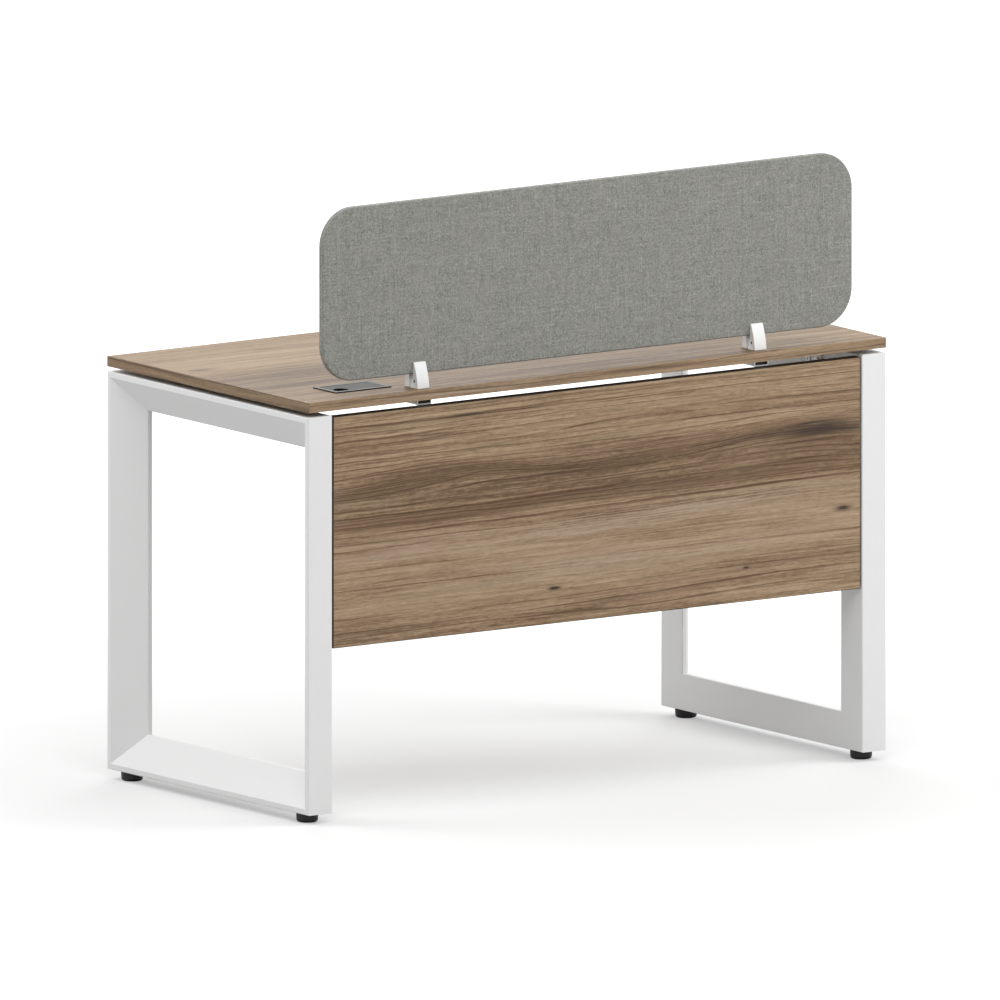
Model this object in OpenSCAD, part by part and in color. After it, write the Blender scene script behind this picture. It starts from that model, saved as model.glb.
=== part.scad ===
// Single-seat workstation: a floating laminate worktop on two closed loop leg frames,
// with a modesty panel, a clamp-on fabric screen and a flip-lid cable port.
// Frame: +Z up, origin on the floor under the middle of the worktop.
// The user sits on the -Y side, the panel and the screen are on the +Y side.
// Left and right are the user's own.

/* [Worktop] */
// Length of the worktop
top_w = 1200; // [1000:10:1600]
// Depth of the worktop
top_d = 600; // [560:10:800]
// Thickness of the board
top_t = 18; // [16:1:25]
// Height of the writing surface above the floor
desk_h = 730; // [700:5:760]
// Thickness of the edge banding
band_t = 2; // [1:0.5:3]

/* [Leg frames] */
// Width of a frame tube, across the desk
tube_w = 50; // [46:1:60]
// Depth of the tube's inboard face
face_w = 64; // [60:1:76]
// Width of the flat lip on the outboard side
lip_w = 10; // [6:1:14]
// Width of the narrow face that lines the opening
inner_w = 9; // [6:1:12]
// Wall of the tube
tube_wall = 2; // [1.5:0.1:3]
// Rounding of the tube's long edges
tube_r = 2; // [1:0.5:3]
// Shadow gap between the frames and the worktop
float_gap = 8; // [6:1:12]

/* [Cross beams] */
// Side of the square beam tube
beam_s = 25; // [20:1:28]
// Wall of the beam tube
beam_wall = 1.5; // [1.2:0.1:2.5]
// Centre of a beam from the worktop's long edge
beam_inset = 140; // [136:1:180]
// Thickness of the end plates
plate_t = 4; // [3:0.5:6]
// Width of the end plates
plate_w = 46; // [42:1:60]
// Distance between the two bolts of an end plate
bolt_pitch = 24; // [20:1:28]
// Bolt line below the underside of the beam
bolt_drop = 9; // [8:1:12]
// Distance from the middle of the beam to its outer worktop screws
top_screw_x = 400; // [300:10:450]

/* [Modesty panel] */
// Height of the panel
panel_h = 400; // [300:10:500]
// Thickness of the panel
panel_t = 18; // [16:1:18]
// Gap between the panel and each post
panel_gap = 3; // [2:0.5:5]
// Top of the panel below the top of the frames
panel_drop = 3; // [2:0.5:6]
// Rear face of the panel inside the posts' rear faces
panel_recess = 1; // [0:0.5:3]
// Thickness of the panel's edge banding
panel_band_t = 1; // [0.5:0.5:2]

/* [Panel brackets] */
// Leg of the angle bracket
bracket_leg = 30; // [26:1:34]
// Thickness of the bracket
bracket_t = 2; // [1.5:0.5:3]
// Height of the bracket
bracket_h = 40; // [36:1:60]
// Middle of a bracket from the panel's top or bottom edge
bracket_edge = 60; // [40:5:100]

/* [Screen] */
// Length of the screen
screen_w = 1100; // [900:10:1200]
// Height of the screen
screen_h = 300; // [250:10:400]
// Thickness of the screen with its fabric
screen_t = 12; // [11:0.5:14]
// Radius of the screen's corners
screen_r = 65; // [30:5:90]
// Thickness of each fabric layer
fabric_t = 1.5; // [1:0.5:2]
// Space between the worktop and the screen
screen_lift = 24; // [22:1:30]
// Middle of the screen from the worktop's rear edge
screen_inset = 35; // [32:1:40]

/* [Screen clamps] */
// Width of a clamp, along the desk
clamp_w = 24; // [20:1:30]
// Depth of a clamp at its foot
clamp_d = 40; // [40:1:48]
// Height of a clamp above the worktop
clamp_h = 44; // [40:1:50]
// Thickness of a jaw at its top
jaw_lip = 2; // [1.5:0.5:3]
// Bulge of a jaw's curved outer face
jaw_bulge = 1.8; // [1:0.1:2.5]
// Reach of the rear jaw's toe past the middle of the screen
jaw_toe = 2.4; // [1:0.1:3]
// Distance from the middle of the desk to a clamp
clamp_x = 350; // [250:10:400]
// Width of the block under the worktop, along the desk
block_w = 30; // [26:1:36]
// Thickness of the block
block_t = 10; // [9:0.5:10.5]
// Rounding of the block's long edges
block_r = 3; // [1:0.5:4]
// Wall round the pocket in the block's rear end
pocket_wall = 2.5; // [2:0.5:3]
// Depth of the pocket
pocket_d = 4; // [2:0.5:5]
// Rear clamp bolt from the middle of the screen
rear_bolt_y = 9; // [8:0.5:11]
// Front clamp bolt from the middle of the screen
front_bolt_y = 12; // [11:0.5:12.5]
// Height of the grub screw above the worktop
grub_z = 11.5; // [10:0.5:12]

/* [Cable port] */
// Length of the port's flange
port_w = 117; // [110:1:140]
// Depth of the port's flange
port_d = 69; // [66:1:76]
// Middle of the port from the worktop's right end
port_end = 154; // [140:1:200]
// Middle of the port from the worktop's rear edge
port_rear = 90; // [90:1:94]
// Flat border round the lid
port_border = 8; // [7:0.5:9]
// Rounding of the flange's corners
port_r = 2.5; // [1:0.5:4]
// Thickness of the flange and of the lid
port_t = 2; // [1.5:0.5:2.5]
// Skirt behind the flange's outline
skirt_inset = 5; // [4:0.5:5.5]
// Wall of the skirt
skirt_t = 2; // [1.5:0.5:2.5]
// Depth of the skirt below the worktop's surface
skirt_h = 30; // [24:1:40]
// Gap round the lid
lid_gap = 0.5; // [0.4:0.1:0.8]
// Radius of the lid's rolled hinge edge
barrel_r = 2.2; // [2:0.1:2.6]
// Radius of the hinge pins
pin_r = 1; // [0.8:0.1:1.1]
// Radius of the lid's cable notch
notch_r = 13.5; // [10:0.5:13.5]
// Middle of the notch from the lid's right end
notch_end = 15; // [15:0.5:20]
// Middle of the notch from the lid's free edge
notch_edge = 9.5; // [8:0.5:10]

/* [Levelling feet] */
// Height of the frames above the floor
foot_h = 17; // [15:1:22]
// Diameter of a foot
foot_dia = 38; // [32:1:40]
// Rounding of the foot's lower rim
foot_round = 5; // [3:0.5:6]
// Middle of a foot from the frame's end
foot_inset = 39; // [38:1:50]
// Radius of the threaded stem
stem_r = 4; // [3:0.5:4.5]
// Length of stem inside the frame when wound in
stem_in = 28; // [26:1:29]
// Radius of the threaded insert
insert_r = 8; // [7:0.5:9]
// Length of the threaded insert
insert_h = 13; // [10:1:15]

/* [Hidden] */

// Smoothness of round parts, and steps in a rounded corner and in a jaw's curve
$fn = 48;
corner_steps = 4;
jaw_steps = 10;
rim_steps = 6;

// Overrun of every cut, and the clearances
over = 1;
seat_gap = 0.05;
run_gap = 0.05;
rest_gap = 0.3;

// Levels
under_z = desk_h - top_t;
frame_top = under_z - float_gap;
frame_h = frame_top - foot_h;
frame_mid_z = foot_h + frame_h / 2;
inboard_x = top_w / 2 - tube_w;

// Outline of the frame tube: first value inwards from the frame's rim, second from the outboard side
tube_outline = [
    [0, 0],
    [lip_w, 0],
    [face_w, tube_w - inner_w],
    [face_w, tube_w],
    [0, tube_w],
];

// Beams
beam_y = top_d / 2 - beam_inset;
beam_l = 2 * (inboard_x - plate_t);
bolt_z = under_z - beam_s - bolt_drop;
plate_edge = 9;
plate_z = bolt_z - plate_edge;
bolt_r = 3;
bolt_head_r = 5.2;
bolt_head_h = 3.2;
bolt_l = 12;
rivet_r = 4.5;
rivet_l = 12;

// Wood screws
screw_r = 2.1;
screw_head_r = 4.2;
screw_head_h = 2.4;
screw_tip = 3;
top_bite = 12;

// Modesty panel
panel_w = 2 * (inboard_x - panel_gap);
panel_top = frame_top - panel_drop;
panel_y = top_d / 2 - panel_recess;
panel_front = panel_y - panel_t;
panel_bite = 12;
post_bite = 6;
bracket_hole = bracket_leg * 2 / 3;
bracket_zs = [panel_top - bracket_edge, panel_top - panel_h + bracket_edge];
bracket_screw_z = bracket_h / 4;

// Screen and clamps
screen_y = top_d / 2 - screen_inset;
screen_z = desk_h + screen_lift + screen_h / 2;
core_t = screen_t - 2 * fabric_t;
slot_half = screen_t / 2;
block_reach = 2;
block_d = clamp_d + 2 * block_reach;
pocket_r = 0.8;
cap_head_r = 5;
cap_head_h = 6;
cap_recess = 6.5;
cap_key_r = 2.9;
cap_key_h = 3;
jaw_bite = 15.5;
jaw_bore = 16;
bolt_hole_r = 3.5;
grub_r = 2.5;
grub_recess = 1;
grub_key_r = 1.4;
grub_key_h = 2.5;

// Cable port
port_x = top_w / 2 - port_end;
port_y = top_d / 2 - port_rear;
opening_w = port_w - 2 * port_border;
opening_d = port_d - 2 * port_border;
lid_w = opening_w - 2 * lid_gap;
skirt_w = port_w - 2 * skirt_inset;
skirt_d = port_d - 2 * skirt_inset;
cut_gap = 0.5;
hinge_gap = 0.6;
hinge_y = port_y - opening_d / 2 + hinge_gap + barrel_r;
hinge_z = desk_h + port_t - barrel_r;
lid_rear_y = port_y + opening_d / 2 - lid_gap;
pin_l = 10;
tab_w = 8;
tab_d = 4;
tab_h = 3;
tab_gap = 0.2;
tab_shares = [-0.4, 0.08];
port_screw_r = 1.6;
port_screw_head_r = 3;
port_screw_head_h = 1.6;
port_screw_bite = 10;

// Feet
foot_x = top_w / 2 - tube_w / 2;
foot_y = top_d / 2 - foot_inset;
foot_r = foot_dia / 2;
foot_top = foot_h - rest_gap;
foot_chamfer = 1;
foot_flat = 0.5;
stem_root = 8;
stem_chamfer = 1;

// Unit inward normal of the edge that leaves corner i of an anticlockwise outline
function inward(p, i) = let (e = p[(i + 1) % len(p)] - p[i]) [-e[1], e[0]] / norm(e);
// Corner i of the outline moved inwards by d
function inset_corner(p, i, d) =
    let (m = inward(p, (i + len(p) - 1) % len(p)), n = inward(p, i)) p[i] + (m + n) * d / (1 + m * n);
function inset_outline(p, d) = [for (i = [0 : len(p) - 1]) inset_corner(p, i, d)];
// The outline with its corners rounded to radius r
function round_outline(p, r, steps) = [
    for (i = [0 : len(p) - 1])
        let (
            c = inset_corner(p, i, r),
            m = inward(p, (i + len(p) - 1) % len(p)),
            n = inward(p, i),
            a = atan2(-m[1], -m[0]),
            turn = (atan2(-n[1], -n[0]) - a + 360) % 360
        )
            for (k = [0 : steps]) c + r * [cos(a + turn * k / steps), sin(a + turn * k / steps)]
];
// Arc from a to b that bulges to the right of the way by h
function bulge_arc(a, b, h, steps) =
    let (
        chord = norm(b - a),
        r = (chord * chord / 4 + h * h) / (2 * h),
        d = (b - a) / chord,
        side = [d[1], -d[0]],
        c = (a + b) / 2 - side * (r - h),
        half = asin(chord / 2 / r)
    )
        [for (k = [0 : steps]) let (t = half * (2 * k / steps - 1)) c + r * (side * cos(t) + d * sin(t))];

// Shared shapes

// Flat outline with round corners
module rounded_rect(w, h, r) {
    square([w - 2 * r, h], center = true);
    square([w, h - 2 * r], center = true);
    for (x = [-1, 1], y = [-1, 1]) translate([x * (w / 2 - r), y * (h / 2 - r)]) circle(r = r);
}

// Pan-head wood screw, its head seated at the origin and its tip towards +Z
module wood_screw(r, length, head_r, head_h, tip) {
    cylinder(r = r, h = length - tip);
    translate([0, 0, length - tip]) cylinder(r1 = r, r2 = r / 4, h = tip);
    rotate([180, 0, 0]) cylinder(r1 = head_r, r2 = head_r * 0.7, h = head_h);
}

// Socket screw, its head seated at the origin and its shank towards +Z
module socket_screw(r, length, head_r, head_h, key_r, key_h) {
    cylinder(r = r, h = length);
    difference() {
        translate([0, 0, -head_h]) cylinder(r = head_r, h = head_h);
        translate([0, 0, -head_h - over]) cylinder(r = key_r, h = key_h + over, $fn = 6);
    }
}

// Repeats a shape at the right frame and mirrored at the left one
module both_sides() {
    children();
    mirror([1, 0, 0]) children();
}

// Frame tube of the given outer length with mitred ends, inwards along +X and along Z
module mitred_tube(length) {
    intersection() {
        linear_extrude(height = length, center = true)
            difference() {
                polygon(round_outline(tube_outline, tube_r, corner_steps));
                polygon(inset_outline(tube_outline, tube_wall));
            }
        rotate([90, 0, 0])
            linear_extrude(height = 2 * (tube_w + over), center = true)
                polygon([
                    [0, -length / 2],
                    [face_w, -length / 2 + face_w],
                    [face_w, length / 2 - face_w],
                    [0, length / 2],
                ]);
    }
}

// One member of the right frame: turned about the frame's middle, its rim reach away from it
module frame_member(length, turn, reach) {
    translate([top_w / 2, 0, frame_mid_z])
        rotate([turn, 0, 0])
            translate([0, 0, -reach])
                rotate([90, -90, 0])
                    mitred_tube(length);
}

module bracket_post_holes() {
    for (z = bracket_zs, s = [-1, 1])
        translate([inboard_x - over, panel_front - bracket_hole, z + s * bracket_screw_z])
            rotate([0, 90, 0])
                cylinder(r = screw_r + seat_gap, h = tube_wall + 2 * over);
}

module rivet_holes() {
    for (y = [-beam_y, beam_y], s = [-1, 1])
        translate([inboard_x - over, y + s * bolt_pitch / 2, bolt_z])
            rotate([0, 90, 0])
                cylinder(r = rivet_r + seat_gap, h = tube_wall + 2 * over);
}

module insert_holes() {
    for (y = [-foot_y, foot_y])
        translate([foot_x, y, foot_h - over])
            cylinder(r = insert_r + seat_gap, h = tube_wall + 2 * over);
}

module front_post() { color("white") frame_member(frame_h, -90, top_d / 2); }

module rear_post() {
    color("white")
        difference() {
            frame_member(frame_h, 90, top_d / 2);
            bracket_post_holes();
        }
}

module top_rail() {
    color("white")
        difference() {
            frame_member(top_d, 180, frame_h / 2);
            rivet_holes();
        }
}

module bottom_rail() {
    color("white")
        difference() {
            frame_member(top_d, 0, frame_h / 2);
            insert_holes();
        }
}

// Worktop

module clamp_holes() {
    for (x = [-clamp_x, clamp_x], y = [rear_bolt_y, -front_bolt_y])
        translate([x, screen_y + y, under_z - over])
            cylinder(r = bolt_hole_r, h = top_t + 2 * over);
}

module top_screw_places() {
    for (x = [-top_screw_x, 0, top_screw_x], y = [-beam_y, beam_y])
        translate([x, y, under_z - beam_s])
            children();
}

module worktop() {
    color("tan")
        difference() {
            translate([-top_w / 2 + band_t, -top_d / 2 + band_t, under_z])
                cube([top_w - 2 * band_t, top_d - 2 * band_t, top_t]);
            translate([port_x - skirt_w / 2 - cut_gap, port_y - skirt_d / 2 - cut_gap, under_z - over])
                cube([skirt_w + 2 * cut_gap, skirt_d + 2 * cut_gap, top_t + 2 * over]);
            clamp_holes();
            top_screw_places()
                cylinder(r = screw_r + seat_gap, h = beam_s + top_bite + seat_gap);
            port_screw_places()
                cylinder(r = port_screw_r + seat_gap, h = skirt_t + cut_gap + port_screw_bite + seat_gap);
        }
}

module long_edge(y) {
    color("peru")
        translate([-top_w / 2 + band_t, y, under_z])
            cube([top_w - 2 * band_t, band_t, top_t]);
}

module end_edge(x) {
    color("peru")
        translate([x, -top_d / 2, under_z])
            cube([band_t, top_d, top_t]);
}

// Cross beams

module beam(y) {
    color("gainsboro")
        difference() {
            translate([-beam_l / 2, y - beam_s / 2, under_z - beam_s])
                cube([beam_l, beam_s, beam_s]);
            translate([-beam_l / 2 - over, y - beam_s / 2 + beam_wall, under_z - beam_s + beam_wall])
                cube([beam_l + 2 * over, beam_s - 2 * beam_wall, beam_s - 2 * beam_wall]);
            top_screw_places()
                translate([0, 0, -over])
                    cylinder(r = screw_r + seat_gap, h = beam_s + 2 * over);
        }
}

module plate_bolt_places() {
    both_sides()
        for (y = [-beam_y, beam_y], s = [-1, 1])
            translate([inboard_x - plate_t, y + s * bolt_pitch / 2, bolt_z])
                rotate([0, 90, 0])
                    children();
}

module beam_end_plates() {
    color("gainsboro")
        difference() {
            both_sides()
                for (y = [-beam_y, beam_y])
                    translate([inboard_x - plate_t, y - plate_w / 2, plate_z])
                        cube([plate_t, plate_w, under_z - plate_z]);
            plate_bolt_places()
                translate([0, 0, -over])
                    cylinder(r = bolt_r + seat_gap, h = plate_t + 2 * over);
        }
}

module beam_bolts() {
    color("dimgray")
        plate_bolt_places()
            socket_screw(bolt_r, plate_t + bolt_l, bolt_head_r, bolt_head_h, bolt_r * 2 / 3, bolt_head_h / 2);
}

module beam_rivet_nuts() {
    color("silver")
        plate_bolt_places()
            translate([0, 0, plate_t])
                difference() {
                    cylinder(r = rivet_r, h = rivet_l);
                    translate([0, 0, -over]) cylinder(r = bolt_r + seat_gap, h = rivet_l + 2 * over);
                }
}

module worktop_screws() {
    color("silver")
        top_screw_places()
            wood_screw(screw_r, beam_s + top_bite, screw_head_r, screw_head_h, screw_tip);
}

// Modesty panel

module panel_screw_places() {
    both_sides()
        for (z = bracket_zs, s = [-1, 1])
            translate([inboard_x - bracket_hole, panel_front - bracket_t, z + s * bracket_screw_z])
                rotate([-90, 0, 0])
                    children();
}

module modesty_panel() {
    color("tan")
        difference() {
            translate([-panel_w / 2 + panel_band_t, panel_front, panel_top - panel_h + panel_band_t])
                cube([panel_w - 2 * panel_band_t, panel_t, panel_h - 2 * panel_band_t]);
            panel_screw_places()
                cylinder(r = screw_r + seat_gap, h = bracket_t + panel_bite + seat_gap);
        }
}

module panel_level_edge(z) {
    color("peru")
        translate([-panel_w / 2, panel_front, z])
            cube([panel_w, panel_t, panel_band_t]);
}

module panel_upright_edge(x) {
    color("peru")
        translate([x, panel_front, panel_top - panel_h + panel_band_t])
            cube([panel_band_t, panel_t, panel_h - 2 * panel_band_t]);
}

module modesty_brackets() {
    color("gainsboro")
        difference() {
            both_sides()
                for (z = bracket_zs)
                    translate([inboard_x, panel_front, z - bracket_h / 2])
                        linear_extrude(height = bracket_h)
                            polygon([
                                [0, 0],
                                [-bracket_leg, 0],
                                [-bracket_leg, -bracket_t],
                                [-bracket_t, -bracket_t],
                                [-bracket_t, -bracket_leg],
                                [0, -bracket_leg],
                            ]);
            panel_screw_places()
                translate([0, 0, -over])
                    cylinder(r = screw_r + seat_gap, h = bracket_t + 2 * over);
            both_sides()
                for (z = bracket_zs, s = [-1, 1])
                    translate([inboard_x - bracket_t - over, panel_front - bracket_hole, z + s * bracket_screw_z])
                        rotate([0, 90, 0])
                            cylinder(r = screw_r + seat_gap, h = bracket_t + 2 * over);
        }
}

module bracket_wood_screws() {
    color("silver")
        panel_screw_places()
            wood_screw(screw_r, bracket_t + panel_bite, screw_head_r, screw_head_h, screw_tip);
}

module bracket_post_screws() {
    color("silver")
        both_sides()
            for (z = bracket_zs, s = [-1, 1])
                translate([inboard_x - bracket_t, panel_front - bracket_hole, z + s * bracket_screw_z])
                    rotate([0, 90, 0])
                        wood_screw(screw_r, bracket_t + tube_wall + post_bite, screw_head_r, screw_head_h, screw_tip);
}

// Screen

// Upright slab of the screen's outline, shrunk by d, from y0 to y1 behind the screen's middle plane
module screen_slab(d, y0, y1) {
    translate([0, screen_y + y1, screen_z])
        rotate([90, 0, 0])
            linear_extrude(height = y1 - y0)
                rounded_rect(screen_w - 2 * d, screen_h - 2 * d, screen_r - d);
}

module screen_core() { color("burlywood") screen_slab(fabric_t, -core_t / 2, core_t / 2); }

module screen_rear_fabric() {
    color("gray")
        difference() {
            screen_slab(0, 0, screen_t / 2);
            screen_slab(fabric_t, -over, core_t / 2);
        }
}

module screen_front_fabric() {
    color("gray")
        difference() {
            screen_slab(0, -screen_t / 2, 0);
            screen_slab(fabric_t, -core_t / 2, over);
        }
}

// Screen clamps

// Side outline of each jaw: first value behind the screen's middle plane, second above the worktop
rear_jaw_outline = concat(
    bulge_arc([clamp_d / 2, 0], [slot_half + jaw_lip, clamp_h], jaw_bulge, jaw_steps),
    [
        [slot_half, clamp_h],
        [slot_half, screen_lift],
        [-jaw_toe, 0],
    ]
);
front_jaw_outline = concat(
    [
        [-slot_half, 0],
        [-slot_half, clamp_h],
    ],
    bulge_arc([-slot_half - jaw_lip, clamp_h], [-clamp_d / 2, 0], jaw_bulge, jaw_steps)
);

module jaw(outline, x, bolt_y) {
    difference() {
        translate([x - clamp_w / 2, screen_y, desk_h])
            rotate([90, 0, 90])
                linear_extrude(height = clamp_w)
                    polygon(outline);
        translate([x, screen_y + bolt_y, desk_h - over])
            cylinder(r = bolt_r + seat_gap, h = jaw_bore + over);
    }
}

module rear_jaw(x) {
    color("whitesmoke")
        difference() {
            jaw(rear_jaw_outline, x, rear_bolt_y);
            translate([x, screen_y + rear_bolt_y, desk_h + grub_z])
                rotate([0, 90, 0])
                    cylinder(r = grub_r + seat_gap, h = clamp_w / 2 + over);
        }
}

module front_jaw(x) { color("whitesmoke") jaw(front_jaw_outline, x, -front_bolt_y); }

module clamp_block(x) {
    color("gray")
        difference() {
            translate([x, screen_y + block_d / 2, under_z - block_t / 2])
                rotate([90, 0, 0])
                    linear_extrude(height = block_d)
                        rounded_rect(block_w, block_t, block_r);
            translate([x, screen_y + block_d / 2 + over, under_z - block_t / 2])
                rotate([90, 0, 0])
                    linear_extrude(height = pocket_d + over)
                        rounded_rect(block_w - 2 * pocket_wall, block_t - 2 * pocket_wall, pocket_r);
            for (y = [rear_bolt_y, -front_bolt_y])
                translate([x, screen_y + y, under_z - block_t - over]) {
                    cylinder(r = bolt_r + seat_gap, h = block_t + 2 * over);
                    cylinder(r = cap_head_r + seat_gap, h = cap_recess + over);
                }
        }
}

module clamp_bolts() {
    color("silver")
        for (x = [-clamp_x, clamp_x], y = [rear_bolt_y, -front_bolt_y])
            translate([x, screen_y + y, under_z - block_t + cap_recess])
                socket_screw(bolt_r, block_t - cap_recess + top_t + jaw_bite,
                    cap_head_r, cap_head_h, cap_key_r, cap_key_h);
}

module clamp_grub_screws() {
    color("black")
        for (x = [-clamp_x, clamp_x])
            translate([x + bolt_r + seat_gap, screen_y + rear_bolt_y, desk_h + grub_z])
                rotate([0, 90, 0])
                    difference() {
                        cylinder(r = grub_r, h = clamp_w / 2 - bolt_r - grub_recess);
                        translate([0, 0, clamp_w / 2 - bolt_r - grub_recess - grub_key_h])
                            cylinder(r = grub_key_r, h = grub_key_h + over, $fn = 6);
                    }
}

// Cable port

module pin_places() {
    for (s = [0, 1])
        translate([port_x, hinge_y, hinge_z])
            mirror([s, 0, 0])
                translate([skirt_w / 2 - pin_l, 0, 0])
                    rotate([0, 90, 0])
                        children();
}

// Places of the two fixing screws, their heads inside the skirt's end walls
module port_screw_places() {
    for (s = [0, 1])
        translate([port_x, port_y, desk_h - skirt_h / 2])
            mirror([s, 0, 0])
                translate([skirt_w / 2 - skirt_t, 0, 0])
                    rotate([0, 90, 0])
                        children();
}

module port_frame() {
    color("darkgray")
        difference() {
            union() {
                translate([port_x, port_y, desk_h])
                    linear_extrude(height = port_t)
                        rounded_rect(port_w, port_d, port_r);
                translate([port_x - skirt_w / 2, port_y - skirt_d / 2, desk_h - skirt_h])
                    cube([skirt_w, skirt_d, skirt_h]);
            }
            translate([port_x - opening_w / 2, port_y - opening_d / 2, desk_h - over])
                cube([opening_w, opening_d, port_t + 2 * over]);
            difference() {
                translate([port_x - skirt_w / 2 + skirt_t, port_y - skirt_d / 2 + skirt_t, desk_h - skirt_h - over])
                    cube([skirt_w - 2 * skirt_t, skirt_d - 2 * skirt_t, skirt_h + over]);
                for (share = tab_shares)
                    translate([port_x + share * skirt_w - tab_w / 2, lid_rear_y - tab_d, desk_h - tab_h - tab_gap])
                        cube([tab_w, skirt_d, tab_h]);
            }
            pin_places()
                cylinder(r = pin_r + seat_gap / 2, h = pin_l + over);
            port_screw_places()
                translate([0, 0, -over])
                    cylinder(r = port_screw_r + seat_gap, h = skirt_t + 2 * over);
        }
}

module port_lid() {
    color("gray")
        difference() {
            union() {
                translate([port_x - lid_w / 2, hinge_y, desk_h])
                    cube([lid_w, lid_rear_y - hinge_y, port_t]);
                translate([port_x - lid_w / 2, hinge_y, hinge_z])
                    rotate([0, 90, 0])
                        cylinder(r = barrel_r, h = lid_w);
            }
            translate([port_x + lid_w / 2 - notch_end, lid_rear_y - notch_edge, desk_h - over])
                cylinder(r = notch_r, h = port_t + 2 * over);
            pin_places()
                translate([0, 0, -over])
                    cylinder(r = pin_r + run_gap, h = pin_l + over);
        }
}

module port_hinge_pins() { color("silver") pin_places() cylinder(r = pin_r, h = pin_l); }

module port_screws() {
    color("silver")
        port_screw_places()
            wood_screw(port_screw_r, skirt_t + cut_gap + port_screw_bite,
                port_screw_head_r, port_screw_head_h, screw_tip);
}

// Levelling feet

module foot(x, y) {
    color("black")
        translate([x, y, 0])
            difference() {
                rotate_extrude()
                    polygon(concat(
                        [[0, 0]],
                        [for (k = [0 : rim_steps]) let (a = 90 * k / rim_steps)
                            [foot_r - foot_flat - foot_round + foot_round * sin(a), foot_round * (1 - cos(a))]],
                        [
                            [foot_r, foot_top - foot_chamfer],
                            [foot_r - foot_chamfer, foot_top],
                            [0, foot_top],
                        ]
                    ));
                translate([0, 0, stem_root])
                    cylinder(r = stem_r + seat_gap / 2, h = foot_h);
            }
}

module stem(x, y) {
    color("silver")
        translate([x, y, stem_root]) {
            cylinder(r = stem_r, h = foot_h + stem_in - stem_root - stem_chamfer);
            translate([0, 0, foot_h + stem_in - stem_root - stem_chamfer])
                cylinder(r1 = stem_r, r2 = stem_r - stem_chamfer, h = stem_chamfer);
        }
}

module foot_inserts() {
    color("silver")
        for (x = [-foot_x, foot_x], y = [-foot_y, foot_y])
            translate([x, y, foot_h])
                difference() {
                    cylinder(r = insert_r, h = insert_h);
                    translate([0, 0, -over]) cylinder(r = stem_r + run_gap, h = insert_h + 2 * over);
                }
}

worktop();
long_edge(-top_d / 2);  // worktop_front_edge
long_edge(top_d / 2 - band_t);  // worktop_rear_edge
end_edge(-top_w / 2);  // worktop_left_edge
end_edge(top_w / 2 - band_t);  // worktop_right_edge
mirror([1, 0, 0]) front_post();  // left_front_post
mirror([1, 0, 0]) rear_post();  // left_rear_post
mirror([1, 0, 0]) top_rail();  // left_top_rail
mirror([1, 0, 0]) bottom_rail();  // left_bottom_rail
front_post();  // right_front_post
rear_post();  // right_rear_post
top_rail();  // right_top_rail
bottom_rail();  // right_bottom_rail
beam(-beam_y);  // front_beam
beam(beam_y);  // rear_beam
beam_end_plates();
beam_bolts();
beam_rivet_nuts();
worktop_screws();
modesty_panel();
panel_level_edge(panel_top - panel_band_t);  // modesty_top_edge
panel_level_edge(panel_top - panel_h);  // modesty_bottom_edge
panel_upright_edge(-panel_w / 2);  // modesty_left_edge
panel_upright_edge(panel_w / 2 - panel_band_t);  // modesty_right_edge
modesty_brackets();
bracket_wood_screws();
bracket_post_screws();
screen_core();
screen_rear_fabric();
screen_front_fabric();
rear_jaw(-clamp_x);  // left_clamp_rear_jaw
front_jaw(-clamp_x);  // left_clamp_front_jaw
clamp_block(-clamp_x);  // left_clamp_block
rear_jaw(clamp_x);  // right_clamp_rear_jaw
front_jaw(clamp_x);  // right_clamp_front_jaw
clamp_block(clamp_x);  // right_clamp_block
clamp_bolts();
clamp_grub_screws();
port_frame();
port_lid();
port_hinge_pins();
port_screws();
foot(-foot_x, -foot_y);  // front_left_foot
foot(foot_x, -foot_y);  // front_right_foot
foot(-foot_x, foot_y);  // rear_left_foot
foot(foot_x, foot_y);  // rear_right_foot
stem(-foot_x, -foot_y);  // front_left_stem
stem(foot_x, -foot_y);  // front_right_stem
stem(-foot_x, foot_y);  // rear_left_stem
stem(foot_x, foot_y);  // rear_right_stem
foot_inserts();
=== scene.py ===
import math
import bmesh
import bpy
from mathutils import Matrix, Vector


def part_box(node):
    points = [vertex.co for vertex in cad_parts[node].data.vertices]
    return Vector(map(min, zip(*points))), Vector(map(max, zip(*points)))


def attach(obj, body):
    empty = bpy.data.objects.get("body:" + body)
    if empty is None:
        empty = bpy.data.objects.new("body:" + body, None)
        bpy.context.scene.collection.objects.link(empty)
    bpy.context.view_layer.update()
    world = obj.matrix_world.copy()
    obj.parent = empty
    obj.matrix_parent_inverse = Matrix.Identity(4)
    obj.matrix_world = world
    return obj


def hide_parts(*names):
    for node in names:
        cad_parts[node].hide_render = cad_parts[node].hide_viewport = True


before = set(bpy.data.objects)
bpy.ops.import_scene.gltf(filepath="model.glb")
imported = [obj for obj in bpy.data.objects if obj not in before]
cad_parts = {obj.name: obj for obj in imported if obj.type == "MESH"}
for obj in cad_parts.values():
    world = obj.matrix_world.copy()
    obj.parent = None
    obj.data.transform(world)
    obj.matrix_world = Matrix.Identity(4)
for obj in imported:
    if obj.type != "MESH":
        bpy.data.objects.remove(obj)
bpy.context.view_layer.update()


# Camera: the photograph's view, from behind the panel and a little above the worktop
cameraSet = {
    "azimuth": 145.15,  # degrees
    "elevation": 9.44,
    "pictureWidth": 1.7039,  # metres across the picture
    "aim": (0.0, 0.0, 0.550),
    "slideRight": 0.0058,
    "slideUp": -0.0839,
    "distance": 6.0,
    "clipEnd": 60.0,
}


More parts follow.
